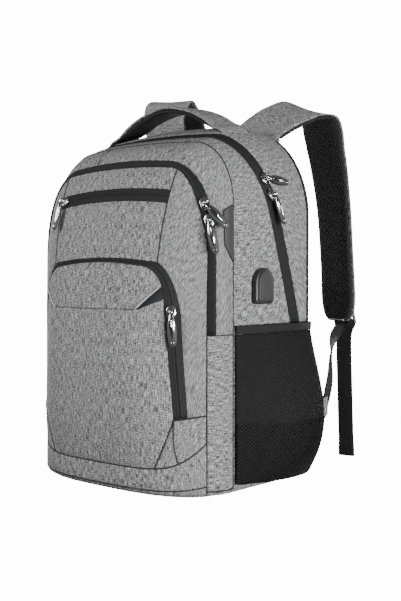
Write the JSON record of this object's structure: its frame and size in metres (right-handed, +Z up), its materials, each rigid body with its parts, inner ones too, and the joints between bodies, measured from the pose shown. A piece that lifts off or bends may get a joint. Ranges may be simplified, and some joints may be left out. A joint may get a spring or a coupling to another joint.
{
  "type": "laptop backpack",
  "caption": "Grey canvas laptop backpack, stuffed and zipped shut, with arched front pocket, side nets, padded shoulder straps, top handle and swinging zip pullers.",
  "frame": {"origin": "underside of the base plate, midway between the two sides", "axes": "+Z up, -Y out of the front pocket, +Y towards the shoulder straps, +X to the side with the charging port"},
  "size_m": [0.3856, 0.386, 0.5183],
  "materials": {
    "canvas": "heather grey woven polyester, matt",
    "zip_tape": "black ribbed zip tape",
    "webbing": "black woven webbing",
    "net": "black spacer mesh",
    "plastic": "black moulded plastic",
    "rubber": "black soft rubber",
    "zip_metal": "bright nickel-plated zinc with black enamel"
  },
  "bodies": {
    "bag": {"rear_gusset": "canvas", "main_zip_tape": "zip_tape", "middle_gusset": "canvas", "lower_side_right": "canvas", "lower_side_left": "canvas", "lower_corner_right": "canvas", "lower_corner_left": "canvas", "second_gusset": "canvas", "second_zip_tape": "zip_tape", "front_top_panel": "canvas", "front_zip_tape": "zip_tape", "front_middle_panel": "canvas", "front_side_right": "canvas", "front_side_left": "canvas", "pocket_zip_tape": "zip_tape", "pocket_flap": "canvas", "pocket_front": "canvas", "slot_lining_right": "zip_tape", "slot_lining_left": "zip_tape", "pocket_gore_right": "canvas", "pocket_gore_left": "canvas", "bumper": "canvas", "base": "canvas", "back_panel": "net", "side_net_right": "net", "side_net_left": "net", "net_binding_right": "webbing", "net_binding_left": "webbing", "port_housing": "plastic", "port_cover": "rubber", "outlet_patch": "rubber", "handle_face": "canvas", "handle_lining": "webbing", "strap_face_right": "canvas", "strap_face_left": "canvas", "strap_pad_right": "net", "strap_pad_left": "net", "webbing_lower_right": "webbing", "webbing_lower_left": "webbing", "webbing_tail_right": "webbing", "webbing_tail_left": "webbing", "webbing_tab_right": "canvas", "webbing_tab_left": "canvas", "buckle_right": "plastic", "buckle_left": "plastic", "slider_main_upper": "zip_metal", "slider_main_lower": "zip_metal", "slider_second_upper": "zip_metal", "slider_second_lower": "zip_metal", "slider_front": "zip_metal", "slider_pocket": "zip_metal"},
    "puller_main_upper": {"puller_main_upper": "zip_metal"},
    "puller_main_lower": {"puller_main_lower": "zip_metal"},
    "puller_second_upper": {"puller_second_upper": "zip_metal"},
    "puller_second_lower": {"puller_second_lower": "zip_metal"},
    "puller_front": {"puller_front": "zip_metal"},
    "puller_pocket": {"puller_pocket": "zip_metal"}
  },
  "joints": [
    {"name": "main_upper_swing", "type": "hinge", "parent": "bag", "child": "puller_main_upper", "pos_m": [0.15394, -0.0032, 0.37899], "axis": [0.2804, -0.098, -0.9549], "range_deg": [0, 150]},
    {"name": "main_lower_swing", "type": "hinge", "parent": "bag", "child": "puller_main_lower", "pos_m": [0.15821, 0.00463, 0.35916], "axis": [0.0562, -0.9316, -0.359], "range_deg": [0, 150]},
    {"name": "second_upper_swing", "type": "hinge", "parent": "bag", "child": "puller_second_upper", "pos_m": [0.13933, -0.10512, 0.34353], "axis": [-0.4825, -0.5748, -0.6609], "range_deg": [0, 150]},
    {"name": "second_lower_swing", "type": "hinge", "parent": "bag", "child": "puller_second_lower", "pos_m": [0.14477, -0.10451, 0.32351], "axis": [-0.8155, -0.5322, -0.2274], "range_deg": [0, 130]},
    {"name": "front_swing", "type": "hinge", "parent": "bag", "child": "puller_front", "pos_m": [-0.08559, -0.12436, 0.35576], "axis": [-0.9803, 0.1973, 0], "range_deg": [0, 150]},
    {"name": "pocket_swing", "type": "hinge", "parent": "bag", "child": "puller_pocket", "pos_m": [0.11339, -0.13444, 0.21761], "axis": [-0.7905, -0.61, -0.0546], "range_deg": [0, 150]}
  ]
}
